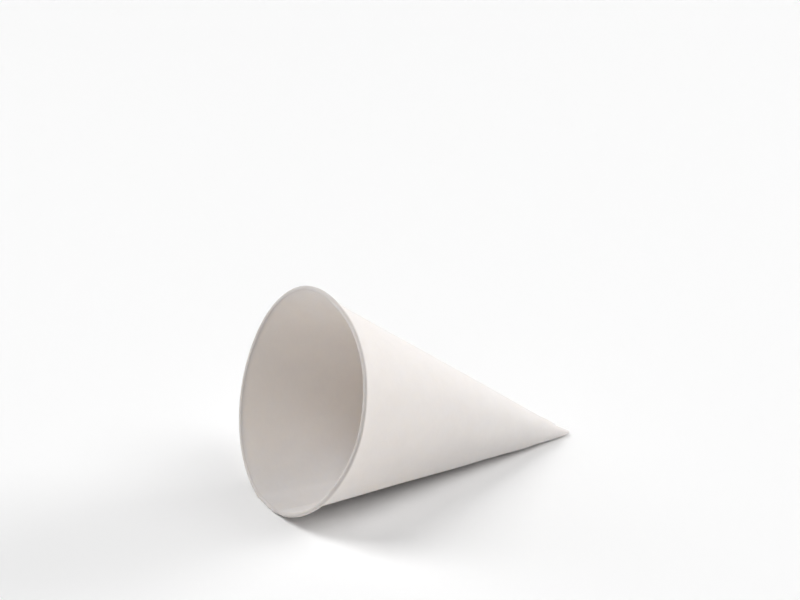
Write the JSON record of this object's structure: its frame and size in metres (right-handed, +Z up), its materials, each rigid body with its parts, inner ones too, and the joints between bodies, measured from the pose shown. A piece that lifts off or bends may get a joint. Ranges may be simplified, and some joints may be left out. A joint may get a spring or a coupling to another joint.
{
  "type": "cone paper cup",
  "caption": "Empty white cone paper cup lying on its side: a wound, lapped paper cone with a rolled rim round the open mouth and a tight, slightly blunt tip.",
  "frame": {"origin": "on the floor under the middle of the cup's box, as the cup lies on its side", "axes": "+Z up from the floor, the tip towards +X and the open mouth towards -X, the glued lap underneath"},
  "size_m": [0.1026, 0.0716, 0.0643],
  "materials": {
    "white_paper": "uncoated smooth paper, matt, very slightly warm white"
  },
  "bodies": {
    "root": {"paper_cone": "white_paper"}
  },
  "joints": []
}
